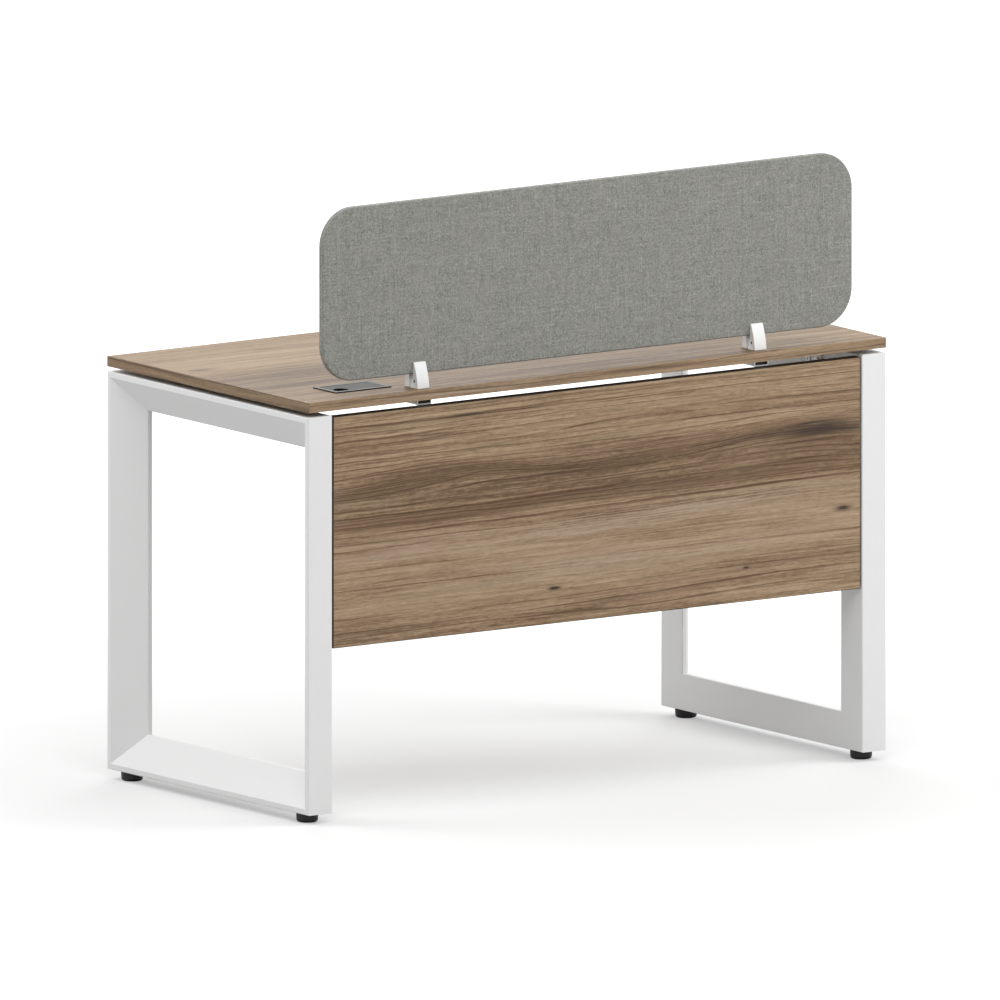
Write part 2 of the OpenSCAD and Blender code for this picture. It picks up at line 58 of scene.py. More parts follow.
def setCamera():
    turn = math.radians(cameraSet["azimuth"])
    lift = math.radians(cameraSet["elevation"])
    back = Vector((math.sin(turn) * math.cos(lift), -math.cos(turn) * math.cos(lift), math.sin(lift)))
    right = Vector((0, 0, 1)).cross(back).normalized()
    up = back.cross(right)
    place = Vector(cameraSet["aim"]) + right * cameraSet["slideRight"] + up * cameraSet["slideUp"]
    place += back * cameraSet["distance"]
    camera = bpy.data.objects.new("camera", bpy.data.cameras.new("camera"))
    camera.data.type = "ORTHO"
    camera.data.ortho_scale = cameraSet["pictureWidth"]
    camera.data.clip_end = cameraSet["clipEnd"]
    camera.matrix_world = Matrix.Translation(place) @ Matrix((right, up, back)).transposed().to_4x4()
    bpy.context.scene.collection.objects.link(camera)
    bpy.context.scene.camera = camera


setCamera()
print("camera set")


# Node helpers
def addNode(tree, kind, inputs=None, **settings):
    node = tree.nodes.new(kind)
    for key, value in settings.items():
        setattr(node, key, value)
    for key, value in (inputs or {}).items():
        if isinstance(value, bpy.types.NodeSocket):
            tree.links.new(value, node.inputs[key])
        else:
            node.inputs[key].default_value = value
    return node


def maths(tree, operation, first, second=0.5, clamp=False):
    inputs = {0: first, 1: second}
    return addNode(tree, "ShaderNodeMath", inputs, operation=operation, use_clamp=clamp).outputs[0]


def spread(tree, value, low, high, newLow=0.0, newHigh=1.0, smooth=False):
    kind = "SMOOTHSTEP" if smooth else "LINEAR"
    inputs = {"Value": value, "From Min": low, "From Max": high, "To Min": newLow, "To Max": newHigh}
    return addNode(tree, "ShaderNodeMapRange", inputs, interpolation_type=kind).outputs["Result"]


def noise(tree, place, scale, detail, roughness=0.5):
    inputs = {"Vector": place, "Scale": scale, "Detail": detail, "Roughness": roughness}
    return addNode(tree, "ShaderNodeTexNoise", inputs).outputs["Fac"]


def vectorMaths(tree, operation, first, second=(0.0, 0.0, 0.0)):
    return addNode(tree, "ShaderNodeVectorMath", {0: first, 1: second}, operation=operation).outputs["Vector"]


def stretch(tree, place, scale):
    return addNode(tree, "ShaderNodeMapping", {"Vector": place, "Scale": scale}).outputs["Vector"]


def blendColor(tree, share, first, second, mode="MIX"):
    node = addNode(tree, "ShaderNodeMix", data_type="RGBA", blend_type=mode)
    for index, value in ((0, share), (6, first), (7, second)):
        if isinstance(value, bpy.types.NodeSocket):
            tree.links.new(value, node.inputs[index])
        else:
            node.inputs[index].default_value = value if index == 0 else (*value, 1)
    return node.outputs[2]


def varied(tree, share, color, darkest, palest):  # one colour, from a little darker to a little paler
    return blendColor(tree, share, tuple(c * darkest for c in color), tuple(c * palest for c in color))


def newMaterial(name, **sockets):
    material = bpy.data.materials.new(name)
    material.use_nodes = True
    tree = material.node_tree
    shader = tree.nodes["Principled BSDF"]
    for key, value in sockets.items():
        shader.inputs[key.replace("_", " ")].default_value = value
    place = addNode(tree, "ShaderNodeTexCoord").outputs["Object"]
    return material, tree, shader, place


def setBump(tree, shader, height, distance, strength):
    bump = addNode(tree, "ShaderNodeBump", {"Height": height, "Distance": distance, "Strength": strength})
    tree.links.new(bump.outputs["Normal"], shader.inputs["Normal"])


# Studio: white all round, soft lamps on both sides and above, and a floor that keeps the shadow
studioSet = {
    "ambient": 0.46,  # light of the white room on the object
    "white": 1.0,  # how bright the room shows behind the object and in gloss
    "floorHalf": 15.0,
    "floorTone": (0.55, 0.55, 0.55),
    "floorPatch": 3.0,  # patches to a metre, and the tone's share in the darkest and the palest
    "floorDarkest": 0.995,
    "floorPalest": 1.005,
    "floorLift": 0.32,
    "floorWhiteFrom": 0.85,  # metres from the desk's middle
    "floorWhiteTo": 2.4,
    "lamps": [
        {"name": "lamp_top", "place": (0.0, 0.0, 4.2), "size": 3.0, "power": 45.0},
        {"name": "lamp_left", "place": (2.9, -2.0, 3.4), "size": 2.4, "power": 71.0},
        {"name": "lamp_right", "place": (-2.9, 2.0, 3.4), "size": 2.4, "power": 60.0},
        {"name": "lamp_right_low", "place": (-3.2, 2.2, 1.6), "size": 2.4, "power": 40.0},
        {"name": "lamp_near", "place": (2.0, 2.9, 3.4), "size": 2.4, "power": 53.0},
        {"name": "lamp_far", "place": (-2.0, -2.9, 3.4), "size": 2.4, "power": 55.0},
    ],
    "lookAt": (0.0, 0.0, 0.45),
}


def setWorld():
    world = bpy.data.worlds.new("studio")
    bpy.context.scene.world = world
    world.use_nodes = True
    tree = world.node_tree
    path = addNode(tree, "ShaderNodeLightPath")
    seen = maths(tree, "MAXIMUM", path.outputs["Is Camera Ray"], path.outputs["Is Glossy Ray"])
    seen = maths(tree, "MAXIMUM", seen, path.outputs["Is Transmission Ray"])
    strength = spread(tree, seen, 0.0, 1.0, studioSet["ambient"], studioSet["white"])
    background = tree.nodes["Background"]
    background.inputs["Color"].default_value = (1, 1, 1, 1)
    tree.links.new(strength, background.inputs["Strength"])


def setLamps():
    for lamp in studioSet["lamps"]:
        light = bpy.data.lights.new(lamp["name"], "AREA")
        light.size = lamp["size"]
        light.energy = lamp["power"]
        holder = bpy.data.objects.new(lamp["name"], light)
        holder.location = lamp["place"]
        way = Vector(studioSet["lookAt"]) - Vector(lamp["place"])
        holder.rotation_euler = way.to_track_quat("-Z", "Y").to_euler()
        bpy.context.scene.collection.objects.link(holder)


def setFloor():
    mesh = bmesh.new()
    bmesh.ops.create_grid(mesh, x_segments=1, y_segments=1, size=studioSet["floorHalf"])
    data = bpy.data.meshes.new("floor")
    mesh.to_mesh(data)
    mesh.free()
    floor = bpy.data.objects.new("floor", data)
    bpy.context.scene.collection.objects.link(floor)
    material, tree, shader, place = newMaterial("pale_floor", Roughness=1.0, Specular_IOR_Level=0.0)
    patch = noise(tree, place, studioSet["floorPatch"], 2.0)
    color = varied(tree, patch, studioSet["floorTone"], studioSet["floorDarkest"], studioSet["floorPalest"])
    tree.links.new(color, shader.inputs["Base Color"])
    # the floor shows as white as the room, and the shadow stays in it
    away = addNode(tree, "ShaderNodeVectorMath", {0: place}, operation="LENGTH").outputs["Value"]
    lift = spread(tree, away, studioSet["floorWhiteFrom"], studioSet["floorWhiteTo"],
                  studioSet["floorLift"], 1.0, True)
    path = addNode(tree, "ShaderNodeLightPath")
    lift = maths(tree, "MULTIPLY", path.outputs["Is Camera Ray"], lift)
    shader.inputs["Emission Color"].default_value = (1, 1, 1, 1)
    tree.links.new(lift, shader.inputs["Emission Strength"])
    floor.data.materials.append(material)


setWorld()
setLamps()
setFloor()
print("studio set")


# Laminate: flat-sawn walnut grain along one axis, with heartwood streaks and small knots given in lists
laminateSet = {
    "light": (0.450, 0.325, 0.207),
    "middle": (0.290, 0.195, 0.114),
    "dark": (0.132, 0.078, 0.039),
    "lightAt": 0.92,  # where the three colours stand on the grain's scale, from 0 to 1
    "middleAt": 0.48,
    "darkAt": 0.08,
    "plainAt": 0.545,  # plain wood on that scale
    "heartShade": (0.345, 0.272, 0.215),  # what heartwood lets through
    "topShade": (0.40, 0.28, 0.17),  # the same on the worktop, whose gloss greys it
    "knot": (0.043, 0.026, 0.017),
    "pale": (0.405, 0.318, 0.238),
    "red": (0.325, 0.190, 0.124),
    "green": (0.280, 0.215, 0.126),
    "redOrGreen": 0.40,  # most that either may tint the wood
    "growthPeriod": 0.0125,  # between two dark growth lines
    "growthWander": 6.0,  # periods by which they stray
    "growthJitter": 0.22,
    "growthSoft": 0.08,  # depth of a growth line's soft side and of its sharp side
    "growthSharp": 0.56,
    "growthCurve": 3.0,  # how late the soft side darkens
    "growthFaint": 0.12,  # share left where growth lines fade out
    "growthInPale": 0.35,  # share left in the paler zones
    "crispest": 1.5,  # contrast of the grain in the darkest zones and in the palest
    "softest": 0.9,
    "zoneEdge": 4.0,  # how squarely a broad zone ends, where 2 is a soft bell
    "finePeriods": 2.3,  # finer lines in the heartwood for each growth line
    "fineJitter": 0.9,
    "poreDepth": 0.28,
    "drift": 0.006,  # rise of the grain along the board
    "bend": 0.018,
    "ripple": 0.0040,
    "rough": 0.51,
    "smooth": 0.42,
    "threadRelief": 0.6,
    "lineRelief": 0.8,
    "bump": 0.00008,
    "bumpStrength": 0.7,
}
# layers of the grain: how often each changes in a metre, along the grain and over it
grainLayers = {
    "ripple": {"along": 10.0, "over": 26.0, "shift": 4.0, "detail": 3.0},
    "bend": {"along": 0.9, "over": 2.4, "detail": 1.0},
    "broad": {"along": 0.8, "over": 8.0, "detail": 2.0},
    "bands": {"along": 1.5, "over": 34.0, "detail": 3.0, "roughness": 0.55},
    "lines": {"along": 3.2, "over": 125.0, "detail": 2.0, "roughness": 0.6},
    "threads": {"along": 8.0, "over": 300.0, "detail": 2.0, "roughness": 0.7},
    "flecks": {"along": 55.0, "over": 330.0, "detail": 2.0, "roughness": 0.8},
    "pores": {"along": 60.0, "over": 700.0, "detail": 1.0},
    "spacing": {"along": 0.5, "over": 15.0, "shift": 9.0, "detail": 2.0},
    "fade": {"along": 2.2, "over": 60.0, "shift": 21.0, "detail": 2.0},
    "hue": {"along": 2.0, "over": 30.0, "shift": 33.0, "detail": 3.0, "roughness": 0.6},
}
# how much each layer darkens the wood, and how much it breaks up the heartwood and the knots
grainShares = {"bands": 0.60, "lines": 0.80, "threads": 1.00, "flecks": 0.80, "broad": 0.30}
heartShares = {"lines": 4.0, "bands": 1.6, "threads": 3.6, "flecks": 1.2, "fine": 1.3, "always": 0.70}
knotShares = {"lines": 1.6, "threads": 2.2, "always": 1.0}
# where each effect starts, on the scale of what it follows, and where it is full
grainRanges = {
    "lateWood": (0.83, 0.94),
    "lateWoodEnd": (0.96, 1.0),
    "fading": (0.36, 0.58),
    "crispness": (-0.24, 0.10),
    "plainness": (-0.02, 0.12),
    "red": (0.52, 0.72),
    "green": (0.46, 0.28),
    "fineLine": (0.50, 0.92),
    "fineLineEnd": (0.93, 1.0),
    "pores": (0.58, 0.74),
    "gloss": (0.3, 0.7),
}
axisOrder = {"X": (0, 1, 2), "Y": (1, 0, 2), "Z": (2, 1, 0)}  # the grain's own axis first


def bells(tree, along, across, group, edge=2.0):
    total = 0.0
    for patch in group:
        far = maths(tree, "SUBTRACT", along, patch["at"][0])
        slope = patch.get("tilt", 0.0)
        if "bow" in patch:
            slope = maths(tree, "ADD", maths(tree, "MULTIPLY", far, patch["bow"]), slope)
        level = maths(tree, "ADD", maths(tree, "MULTIPLY", far, slope), patch["at"][1])
        aside = maths(tree, "MULTIPLY", maths(tree, "SUBTRACT", across, level), 1 / patch["size"][1])
        aside = maths(tree, "POWER", maths(tree, "ABSOLUTE", aside), edge)
        far = maths(tree, "MULTIPLY", far, 1 / patch["size"][0])
        power = maths(tree, "ADD", maths(tree, "MULTIPLY", far, far), aside)
        share = maths(tree, "EXPONENT", maths(tree, "MULTIPLY", power, -1.0))
        total = maths(tree, "ADD", maths(tree, "MULTIPLY", share, patch["depth"]), total)
    return total


def laminate(name, grain, across, seed, shine=0.5, tone=None, shade=laminateSet["heartShade"], zones=(),
             flows=(), streaks=(), pales=(), knots=()):
    material, tree, shader, place = newMaterial(name, Specular_IOR_Level=shine)
    parts = addNode(tree, "ShaderNodeSeparateXYZ", {0: place}).outputs
    first, second, third = (parts[i] for i in axisOrder[grain])
    wide, thin = (third, second) if across == "Z" else (second, third)

    def layer(kind, height):
        cut = grainLayers[kind]
        start = maths(tree, "ADD", maths(tree, "MULTIPLY", first, cut["along"]), seed + cut.get("shift", 0.0))
        rise = maths(tree, "MULTIPLY", height, cut["over"])
        deep = maths(tree, "MULTIPLY", thin, cut["over"])
        spot = addNode(tree, "ShaderNodeCombineXYZ", {0: start, 1: rise, 2: deep}).outputs[0]
        return noise(tree, spot, 1.0, cut["detail"], cut.get("roughness", 0.5))

    def signed(value, share):
        return maths(tree, "MULTIPLY", maths(tree, "SUBTRACT", value, 0.5), share)

    def within(value, kind, start=0.0, full=1.0):
        return spread(tree, value, *grainRanges[kind], start, full, True)

    # the grain ripples a little, and drifts and wanders slowly across the board
    rippled = maths(tree, "ADD", wide, signed(layer("ripple", wide), laminateSet["ripple"]))
    bend = signed(layer("bend", wide), laminateSet["bend"])
    bend = maths(tree, "ADD", bend, maths(tree, "MULTIPLY", first, laminateSet["drift"]))
    bent = maths(tree, "ADD", rippled, bend)
    if flows:  # the grain swings round the knots and heartwood
        bent = maths(tree, "SUBTRACT", bent, bells(tree, first, rippled, flows))

    bands = layer("bands", bent)
    lines = layer("lines", bent)
    threads = layer("threads", bent)
    flecks = layer("flecks", bent)

    # growth lines: soft on one side, sharp and dark on the other, now closer, now wider apart
    count = maths(tree, "MULTIPLY", bent, 1 / laminateSet["growthPeriod"])
    count = maths(tree, "ADD", count, signed(layer("spacing", bent), laminateSet["growthWander"]))
    ring = maths(tree, "FRACT", maths(tree, "ADD", count, signed(threads, laminateSet["growthJitter"])))
    softSide = maths(tree, "POWER", ring, laminateSet["growthCurve"])
    late = maths(tree, "MULTIPLY", within(ring, "lateWood"), within(ring, "lateWoodEnd", 1.0, 0.0))
    fade = within(layer("fade", bent), "fading", laminateSet["growthFaint"])
    growth = maths(tree, "ADD", maths(tree, "MULTIPLY", softSide, laminateSet["growthSoft"]),
                   maths(tree, "MULTIPLY", late, laminateSet["growthSharp"]))
    growth = maths(tree, "MULTIPLY", growth, fade)

    level = signed(bands, grainShares["bands"])
    for kind, value in (("lines", lines), ("threads", threads), ("flecks", flecks)):
        level = maths(tree, "ADD", level, signed(value, grainShares[kind]))
    if zones:  # broad zones: crisp grain in the darker ones, hardly a growth line in the paler ones
        zone = bells(tree, first, rippled, zones, laminateSet["zoneEdge"])
        crisp = spread(tree, zone, *grainRanges["crispness"], laminateSet["crispest"], laminateSet["softest"])
        level = maths(tree, "ADD", maths(tree, "MULTIPLY", level, crisp), zone)
        plain = spread(tree, zone, *grainRanges["plainness"], 1.0, laminateSet["growthInPale"])
        growth = maths(tree, "MULTIPLY", growth, plain)
    broad = signed(layer("broad", bent), grainShares["broad"])
    level = maths(tree, "ADD", level, maths(tree, "ADD", broad, laminateSet["plainAt"]))
    level = maths(tree, "SUBTRACT", level, growth)
    ramp = addNode(tree, "ShaderNodeValToRGB", {0: level})
    stops = ramp.color_ramp.elements
    stops[0].position, stops[0].color = laminateSet["darkAt"], (*laminateSet["dark"], 1)
    stops[1].position, stops[1].color = laminateSet["lightAt"], (*laminateSet["light"], 1)
    stops.new(laminateSet["middleAt"]).color = (*laminateSet["middle"], 1)
    color = ramp.outputs["Color"]

    # redder and greener zones along the grain
    hue = layer("hue", bent)
    for kind in ("red", "green"):
        color = blendColor(tree, within(hue, kind, 0.0, laminateSet["redOrGreen"]), color, laminateSet[kind])

    # bands given in lists, with the grain showing through them
    ragged = maths(tree, "ADD", signed(lines, heartShares["lines"]), signed(bands, heartShares["bands"]))
    frayed = signed(threads, heartShares["threads"])
    frayed = maths(tree, "ADD", frayed, signed(flecks, heartShares["flecks"]))
    ragged = maths(tree, "ADD", ragged, frayed)
    fine = maths(tree, "MULTIPLY", count, laminateSet["finePeriods"])
    fine = maths(tree, "FRACT", maths(tree, "ADD", fine, signed(lines, laminateSet["fineJitter"])))
    fine = maths(tree, "MULTIPLY", within(fine, "fineLine"), within(fine, "fineLineEnd", 1.0, 0.0))
    fine = maths(tree, "ADD", maths(tree, "MULTIPLY", fine, heartShares["fine"]), heartShares["always"])
    ragged = maths(tree, "ADD", ragged, fine)
    for group, tint, mode in ((pales, laminateSet["pale"], "MIX"), (streaks, shade, "MULTIPLY")):
        if group:
            share = bells(tree, first, rippled, group)
            color = blendColor(tree, maths(tree, "MULTIPLY", share, ragged, True), color, tint, mode)
    if knots:
        share = bells(tree, first, rippled, knots)
        worn = maths(tree, "ADD", signed(threads, knotShares["threads"]), knotShares["always"])
        worn = maths(tree, "ADD", signed(lines, knotShares["lines"]), worn)
        color = blendColor(tree, maths(tree, "MULTIPLY", share, worn, True), color, laminateSet["knot"])
    tick = within(layer("pores", bent), "pores", 0.0, laminateSet["poreDepth"])
    color = blendColor(tree, maths(tree, "MAXIMUM", tick, growth), color, laminateSet["dark"])
    if tone:
        color = blendColor(tree, 1.0, color, tone, "MULTIPLY")
    tree.links.new(color, shader.inputs["Base Color"])
    rough = spread(tree, lines, *grainRanges["gloss"], laminateSet["rough"], laminateSet["smooth"])
    tree.links.new(rough, shader.inputs["Roughness"])
    height = maths(tree, "ADD", maths(tree, "MULTIPLY", threads, laminateSet["threadRelief"]),
                   maths(tree, "MULTIPLY", lines, laminateSet["lineRelief"]))
    height = maths(tree, "SUBTRACT", height, maths(tree, "ADD", tick, growth))
    setBump(tree, shader, height, laminateSet["bump"], laminateSet["bumpStrength"])
    return material


# place along the grain and across it, half length and half width, all in metres
panelZones = [
    {"at": (0.00, 0.545), "size": (1.50, 0.060), "depth": -0.17},
    {"at": (0.00, 0.420), "size": (1.50, 0.064), "tilt": -0.035, "depth": 0.13},
    {"at": (0.42, 0.316), "size": (0.30, 0.016), "depth": -0.16},
    {"at": (-0.25, 0.345), "size": (0.26, 0.022), "tilt": -0.050, "depth": -0.06},
    {"at": (0.50, 0.670), "size": (0.22, 0.045), "depth": -0.05},
]
panelFlows = [
    {"at": (0.27, 0.578), "size": (0.13, 0.030), "depth": 0.008},
    {"at": (-0.44, 0.575), "size": (0.20, 0.045), "depth": 0.014},
]
panelStreaks = [
    # heartwood, upper band and lower band
    {"at": (0.50, 0.565), "size": (0.12, 0.009), "tilt": -0.06, "depth": 0.50},
    {"at": (0.36, 0.576), "size": (0.12, 0.012), "tilt": -0.05, "depth": 0.46},
    {"at": (0.20, 0.576), "size": (0.12, 0.012), "tilt": 0.02, "depth": 0.42},
    {"at": (0.04, 0.569), "size": (0.14, 0.010), "tilt": 0.06, "depth": 0.46},
    {"at": (-0.12, 0.577), "size": (0.12, 0.014), "tilt": -0.03, "depth": 0.30},
    {"at": (-0.31, 0.585), "size": (0.09, 0.008), "tilt": -0.06, "depth": 0.50},
    {"at": (-0.45, 0.580), "size": (0.11, 0.022), "depth": 0.66},
    {"at": (-0.45, 0.556), "size": (0.12, 0.016), "depth": 0.26},
    {"at": (0.45, 0.510), "size": (0.20, 0.012), "depth": 0.54},
    {"at": (0.18, 0.514), "size": (0.20, 0.012), "tilt": -0.02, "depth": 0.52},
    {"at": (-0.08, 0.519), "size": (0.16, 0.011), "tilt": -0.01, "depth": 0.46},
    {"at": (-0.30, 0.519), "size": (0.16, 0.012), "tilt": -0.01, "depth": 0.46},
    {"at": (-0.47, 0.529), "size": (0.12, 0.016), "tilt": -0.02, "depth": 0.46},
    {"at": (0.00, 0.541), "size": (0.60, 0.008), "tilt": -0.01, "depth": 0.20},
    # long dark growth lines
    {"at": (0.43, 0.5580), "size": (0.15, 0.0014), "tilt": -0.06, "bow": 0.26, "depth": 1.60},
    {"at": (0.26, 0.5575), "size": (0.08, 0.0013), "tilt": -0.075, "depth": 0.80},
    {"at": (0.08, 0.5597), "size": (0.12, 0.0016), "depth": 1.40},
    {"at": (-0.18, 0.5670), "size": (0.13, 0.0014), "tilt": -0.085, "bow": 0.10, "depth": 1.20},
    {"at": (0.42, 0.5980), "size": (0.14, 0.0012), "tilt": -0.055, "bow": -0.15, "depth": 0.80},
    {"at": (0.20, 0.6015), "size": (0.12, 0.0012), "depth": 0.55},
    {"at": (-0.10, 0.6040), "size": (0.20, 0.0012), "tilt": -0.008, "depth": 0.55},
    {"at": (0.45, 0.5790), "size": (0.11, 0.0013), "tilt": -0.058, "depth": 0.80},
    {"at": (0.26, 0.5905), "size": (0.09, 0.0013), "bow": -0.30, "depth": 0.80},
    {"at": (0.12, 0.5770), "size": (0.08, 0.0013), "tilt": 0.110, "depth": 0.70},
    {"at": (0.12, 0.5705), "size": (0.10, 0.0013), "tilt": 0.070, "depth": 0.80},
    {"at": (-0.06, 0.5880), "size": (0.14, 0.0013), "tilt": -0.020, "depth": 0.60},
    {"at": (-0.08, 0.5745), "size": (0.12, 0.0012), "tilt": -0.050, "depth": 0.60},
    {"at": (-0.22, 0.5800), "size": (0.12, 0.0012), "tilt": -0.080, "depth": 0.70},
    {"at": (0.47, 0.5210), "size": (0.12, 0.0014), "depth": 0.90},
    {"at": (0.27, 0.5215), "size": (0.13, 0.0014), "tilt": -0.012, "depth": 0.90},
    {"at": (0.02, 0.5270), "size": (0.18, 0.0016), "tilt": -0.018, "depth": 1.40},
    {"at": (-0.22, 0.5315), "size": (0.13, 0.0014), "tilt": -0.010, "depth": 0.90},
    {"at": (-0.45, 0.5380), "size": (0.12, 0.0013), "tilt": -0.030, "depth": 0.80},
    {"at": (0.40, 0.5350), "size": (0.16, 0.0012), "tilt": 0.010, "depth": 0.50},
    {"at": (-0.05, 0.5420), "size": (0.20, 0.0012), "tilt": -0.020, "depth": 0.50},
    {"at": (0.33, 0.4885), "size": (0.09, 0.0014), "tilt": 0.010, "depth": 0.80},
    {"at": (0.15, 0.4915), "size": (0.12, 0.0014), "tilt": -0.012, "depth": 0.80},
    {"at": (-0.08, 0.4955), "size": (0.14, 0.0013), "tilt": -0.012, "depth": 0.80},
    {"at": (-0.36, 0.5005), "size": (0.18, 0.0016), "tilt": -0.018, "depth": 1.10},
    # quieter wood above and below
    {"at": (0.48, 0.477), "size": (0.14, 0.0040), "tilt": 0.010, "depth": 0.30},
    {"at": (-0.20, 0.446), "size": (0.30, 0.0020), "tilt": -0.012, "depth": 0.34},
    {"at": (-0.40, 0.366), "size": (0.18, 0.0050), "tilt": -0.060, "depth": 0.22},
    {"at": (-0.10, 0.332), "size": (0.20, 0.0040), "tilt": -0.060, "depth": 0.34},
    {"at": (0.40, 0.325), "size": (0.22, 0.0040), "tilt": -0.010, "depth": 0.34},
    {"at": (0.35, 0.6780), "size": (0.240, 0.0018), "depth": 1.00},
    {"at": (0.02, 0.6790), "size": (0.140, 0.0014), "depth": 0.60},
    {"at": (-0.10, 0.6930), "size": (0.300, 0.0014), "depth": 0.50},
    {"at": (-0.15, 0.6290), "size": (0.350, 0.0013), "depth": 0.50},
    {"at": (-0.10, 0.5970), "size": (0.200, 0.0020), "tilt": -0.010, "depth": 0.50},
    {"at": (0.45, 0.6540), "size": (0.130, 0.0015), "tilt": 0.010, "depth": 0.80},
    {"at": (0.40, 0.6430), "size": (0.120, 0.0012), "depth": 0.50},
    {"at": (0.34, 0.6310), "size": (0.180, 0.0012), "depth": 0.50},
]
panelKnots = [
    {"at": (-0.462, 0.5885), "size": (0.058, 0.0115), "depth": 1.15},
    {"at": (-0.425, 0.5955), "size": (0.050, 0.0024), "tilt": -0.04, "depth": 0.55},
    {"at": (-0.480, 0.5830), "size": (0.050, 0.0024), "tilt": 0.03, "depth": 0.55},
    {"at": (-0.455, 0.5940), "size": (0.020, 0.0022), "depth": -0.60},
    {"at": (-0.530, 0.5800), "size": (0.035, 0.0050), "tilt": 0.02, "depth": 0.45},
    {"at": (-0.350, 0.5850), "size": (0.060, 0.0065), "tilt": -0.05, "depth": 0.45},
    {"at": (0.268, 0.6790), "size": (0.034, 0.0028), "depth": 1.10},
    {"at": (0.088, 0.3620), "size": (0.012, 0.0030), "depth": 1.20},
    {"at": (-0.511, 0.4435), "size": (0.016, 0.0046), "tilt": -0.02, "depth": 1.10},
    {"at": (-0.310, 0.3595), "size": (0.007, 0.0024), "depth": 1.00},
]
panelPales = [
    {"at": (0.40, 0.456), "size": (0.18, 0.016), "tilt": -0.010, "depth": 0.28},
    {"at": (0.00, 0.462), "size": (0.22, 0.016), "tilt": -0.020, "depth": 0.40},
    {"at": (-0.34, 0.478), "size": (0.18, 0.016), "tilt": -0.010, "depth": 0.40},
    {"at": (-0.05, 0.400), "size": (0.40, 0.022), "tilt": -0.020, "depth": 0.30},
]
topZonesAndScreenShade = [
    {"at": (0.35, 0.075), "size": (0.55, 0.090), "depth": -0.16},
    {"at": (0.45, -0.160), "size": (0.60, 0.110), "depth": 0.10},
    # painted shade: a darker strip along and behind the screen's foot, where the screen shades the worktop
    {"at": (0.00, 0.270), "size": (0.42, 0.060), "depth": -0.40},
]
topKnots = [{"at": (0.555, -0.086), "size": (0.026, 0.0110), "depth": 0.75}]
topStreaks = [
    {"at": (0.340, -0.205), "size": (0.030, 0.006), "tilt": -0.10, "depth": 0.80},
    {"at": (0.56, -0.205), "size": (0.10, 0.007), "tilt": 0.02, "depth": 0.45},
    {"at": (0.50, 0.130), "size": (0.12, 0.017), "tilt": 0.02, "depth": 1.10},
    {"at": (0.34, 0.126), "size": (0.09, 0.010), "tilt": 0.02, "depth": 0.50},
    {"at": (0.54, 0.030), "size": (0.12, 0.014), "tilt": 0.02, "depth": 0.55},
    {"at": (0.41, 0.020), "size": (0.10, 0.018), "tilt": 0.02, "depth": 0.45},
    {"at": (0.45, 0.066), "size": (0.12, 0.012), "depth": 0.40},
    {"at": (0.10, -0.020), "size": (0.30, 0.014), "tilt": 0.02, "depth": 0.40},
    {"at": (-0.25, 0.100), "size": (0.30, 0.010), "tilt": 0.02, "depth": 0.35},
    {"at": (-0.30, -0.150), "size": (0.35, 0.016), "tilt": -0.01, "depth": 0.40},
    {"at": (0.25, -0.190), "size": (0.30, 0.008), "tilt": 0.01, "depth": 0.35},
]
rearBandStreaks = [
    {"at": (-0.10, 0.7235), "size": (0.13, 0.0045), "tilt": 0.01, "depth": 0.60},
    {"at": (-0.38, 0.7180), "size": (0.12, 0.0030), "tilt": 0.01, "depth": 0.40},
]
rearBandPales = [{"at": (0.28, 0.7210), "size": (0.16, 0.0070), "depth": 0.5}]


# White powder coat: a faint orange peel
powderSet = {
    "color": (0.800, 0.802, 0.800),
    "clampColor": (0.79, 0.80, 0.79),
    "roughness": 0.42,
    "shine": 0.5,
    "cloudScale": 6.0,  # clouds to a metre
    "darkest": 0.985,  # of the colour
    "palest": 1.01,
    "peelScale": 900.0,
    "peel": 0.00002,
    "peelStrength": 0.6,
}


def powderCoat(name, color):
    sockets = {"Roughness": powderSet["roughness"], "Specular_IOR_Level": powderSet["shine"]}
    material, tree, shader, place = newMaterial(name, **sockets)
    cloud = noise(tree, place, powderSet["cloudScale"], 2.0)
    tint = varied(tree, cloud, color, powderSet["darkest"], powderSet["palest"])
    tree.links.new(tint, shader.inputs["Base Color"])
    peel = noise(tree, place, powderSet["peelScale"], 2.0)
    setBump(tree, shader, peel, powderSet["peel"], powderSet["peelStrength"])
    return material


# Heather cloth: a plain weave of light and dark yarns
clothSet = {
    "pitch": 0.0019,  # between two yarns
    "wobbleScale": 90.0,
    "wobble": 0.7,  # of the pitch
    "light": (0.385, 0.385, 0.353),
    "dark": (0.152, 0.155, 0.140),
    "warm": (0.300, 0.278, 0.255),
    "warmScale": 22.0,
    "warmShare": 0.22,
    "yarnShare": 0.52,  # what each adds to the mix of dark and light
    "weaveShare": 0.20,
    "slubShare": 0.36,
    "paleLine": 0.16,
    "darkLine": 0.11,
    "darkBelow": 0.33,  # the mix that shows as dark and as light
    "lightAbove": 1.19,
    "slubs": [(500.0, 500.0, 230.0), (230.0, 500.0, 500.0)],  # repeats to a metre, upright and across
    "yarnLines": [(24.0, 400.0, 400.0), (400.0, 400.0, 20.0)],
    # painted shade along the screen's bottom fold: its colour, the heights where it starts and ends, and its
    # share
    "foldPaintedShade": (0.060, 0.048, 0.038),
    "paintedShadeFrom": 0.7544,  # height above the floor
    "paintedShadeTo": 0.7560,
    "paintedShadeShare": 0.8,
    "crown": 0.35,  # how flat a yarn lies across itself
    "thickYarn": (0.58, 0.74),  # where each effect starts on its noise, and where it is full
    "thinYarn": (0.42, 0.26),
    "warmPatch": (0.45, 0.65),
    "roughness": 0.95,
    "shine": 0.15,
    "sheen": 0.25,
    "sheenRoughness": 0.45,
    "bump": 0.00025,
    "bumpStrength": 0.8,
}


